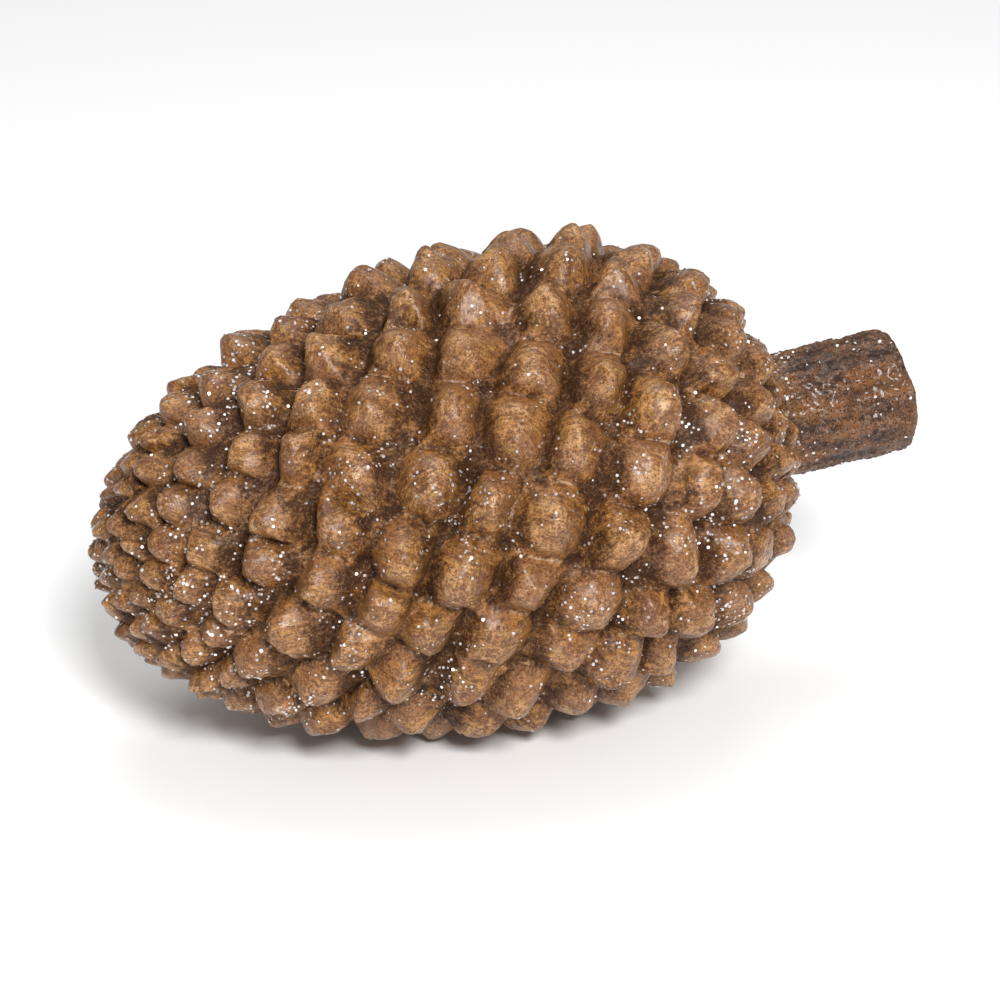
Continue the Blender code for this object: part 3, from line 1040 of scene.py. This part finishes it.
def flake_corners(spots, normals, random):
    """The corners of one flat flake at each spot, lifted off the paint and tipped a little."""
    count = len(spots)
    facing = unit(normals + random.normal(0.0, FLAKE_SWING, (count, 3)))
    side = unit(np.cross(facing, random.normal(0.0, 1.0, (count, 3))))
    ahead = np.cross(facing, side)
    size = random.uniform(*FLAKE_SIZES, count)
    turns = FULL_TURN * np.arange(FLAKE_SIDES) / FLAKE_SIDES
    sideways = np.cos(turns)[None, :, None] * side[:, None, :]
    forward = np.sin(turns)[None, :, None] * ahead[:, None, :]
    lifted = spots + FLAKE_LIFT * normals
    return (lifted[:, None, :] + size[:, None, None] * (sideways + forward)).reshape(-1, 3)


def build_glitter(cone, stem, material):
    """Small flat flakes scattered over the cone and the stem."""
    random = np.random.default_rng(RANDOM_SEED + 2)
    on_cone = face_samples(cone, FLAKES_ON_CONE, random, glitter_wanted)
    on_stem = face_samples(stem, FLAKES_ON_STEM, random, glitter_wanted)
    spots = np.concatenate([on_cone[0], on_stem[0]])
    normals = np.concatenate([on_cone[1], on_stem[1]])
    corners = flake_corners(spots, normals, random)
    count = len(spots)
    mesh = make_mesh("glitter", corners, np.arange(len(corners)).reshape(-1, FLAKE_SIDES).tolist())
    set_places(mesh, corners)
    is_clean = random.random(count) < CLEAN_SHARE
    clean_shine = random.uniform(*CLEAN_SHINES, count)
    dulled_shine = random.uniform(*DULLED_SHINES, count)
    shine = np.where(is_clean, clean_shine, dulled_shine)
    store(mesh, "shine", "FLOAT", np.repeat(shine, FLAKE_SIDES))
    mesh.shade_flat()
    piece = add_piece("glitter", mesh, material)
    return piece


# The camera, from the photograph: its lens, and its place round the cone
LENS = 110.0
SENSOR = 36.0
CAMERA_DISTANCE = 0.519
CAMERA_AZIMUTH = -18.0
CAMERA_ELEVATION = 23.9
CAMERA_AIM = CONE_MIDDLE + Vector((-0.003416, -0.000449, -0.003346))
NEAREST_SEEN = 0.01

# The studio: a pale floor, even light from all round, and softboxes as (place, side, watts)
FLOOR_HALF = 2.0
FLOOR_GREY = (0.96, 0.96, 0.96, 1.0)
ROOM_WHITE = (1.0, 1.0, 1.0, 1.0)
ROOM_LIGHT = 0.34
LIGHTS_AIM = Vector((0.0, 0.0, 0.04))
SOFTBOXES = {
    "overhead": ((0.1, 0.3, 1.1), 0.7, 4.5),
    "front": ((-0.08, -1.0, 0.85), 0.32, 18.5),
}


def link_object(name, data):
    thing = bpy.data.objects.new(name, data)
    bpy.context.scene.collection.objects.link(thing)
    return thing


def aim(thing, direction):
    thing.rotation_mode = "QUATERNION"
    thing.rotation_quaternion = direction.to_track_quat("-Z", "Y")


def add_camera():
    azimuth, elevation = math.radians(CAMERA_AZIMUTH), math.radians(CAMERA_ELEVATION)
    sideways = math.sin(azimuth) * math.cos(elevation)
    backward = -math.cos(azimuth) * math.cos(elevation)
    back = Vector((sideways, backward, math.sin(elevation)))
    camera = link_object("camera", bpy.data.cameras.new("camera"))
    camera.data.lens = LENS
    camera.data.sensor_width = SENSOR
    camera.data.clip_start = NEAREST_SEEN
    camera.location = CAMERA_AIM + CAMERA_DISTANCE * back
    aim(camera, -back)
    bpy.context.scene.camera = camera


def add_softbox(name, place, side, power):
    lamp = bpy.data.lights.new(name, "AREA")
    lamp.shape = "SQUARE"
    lamp.size = side
    lamp.energy = power
    light = link_object(name, lamp)
    light.location = place
    aim(light, LIGHTS_AIM - Vector(place))


def add_floor():
    half = FLOOR_HALF
    corners = [(-half, -half, 0.0), (half, -half, 0.0), (half, half, 0.0), (-half, half, 0.0)]
    mesh = bpy.data.meshes.new("floor")
    mesh.from_pydata(corners, [], [(0, 1, 2, 3)])
    floor = link_object("floor", mesh)
    pale = Nodes("pale_floor")
    pale.set_shader(base_color=FLOOR_GREY, roughness=0.9, specular_ior_level=0.0)
    mesh.materials.append(pale.material)


def add_studio():
    add_floor()
    world = bpy.data.worlds.new("studio")
    world.use_nodes = True
    room = world.node_tree.nodes["Background"]
    room.inputs["Color"].default_value = ROOM_WHITE
    room.inputs["Strength"].default_value = ROOM_LIGHT
    bpy.context.scene.world = world
    for name, (place, side, power) in SOFTBOXES.items():
        add_softbox(name, place, side, power)
    bpy.context.scene.view_settings.view_transform = "Standard"


def main():
    cone = build_cone(painted_scales())
    stem = build_stem(painted_bark())
    build_glitter(cone, stem, silver_flake())
    add_camera()
    add_studio()


main()
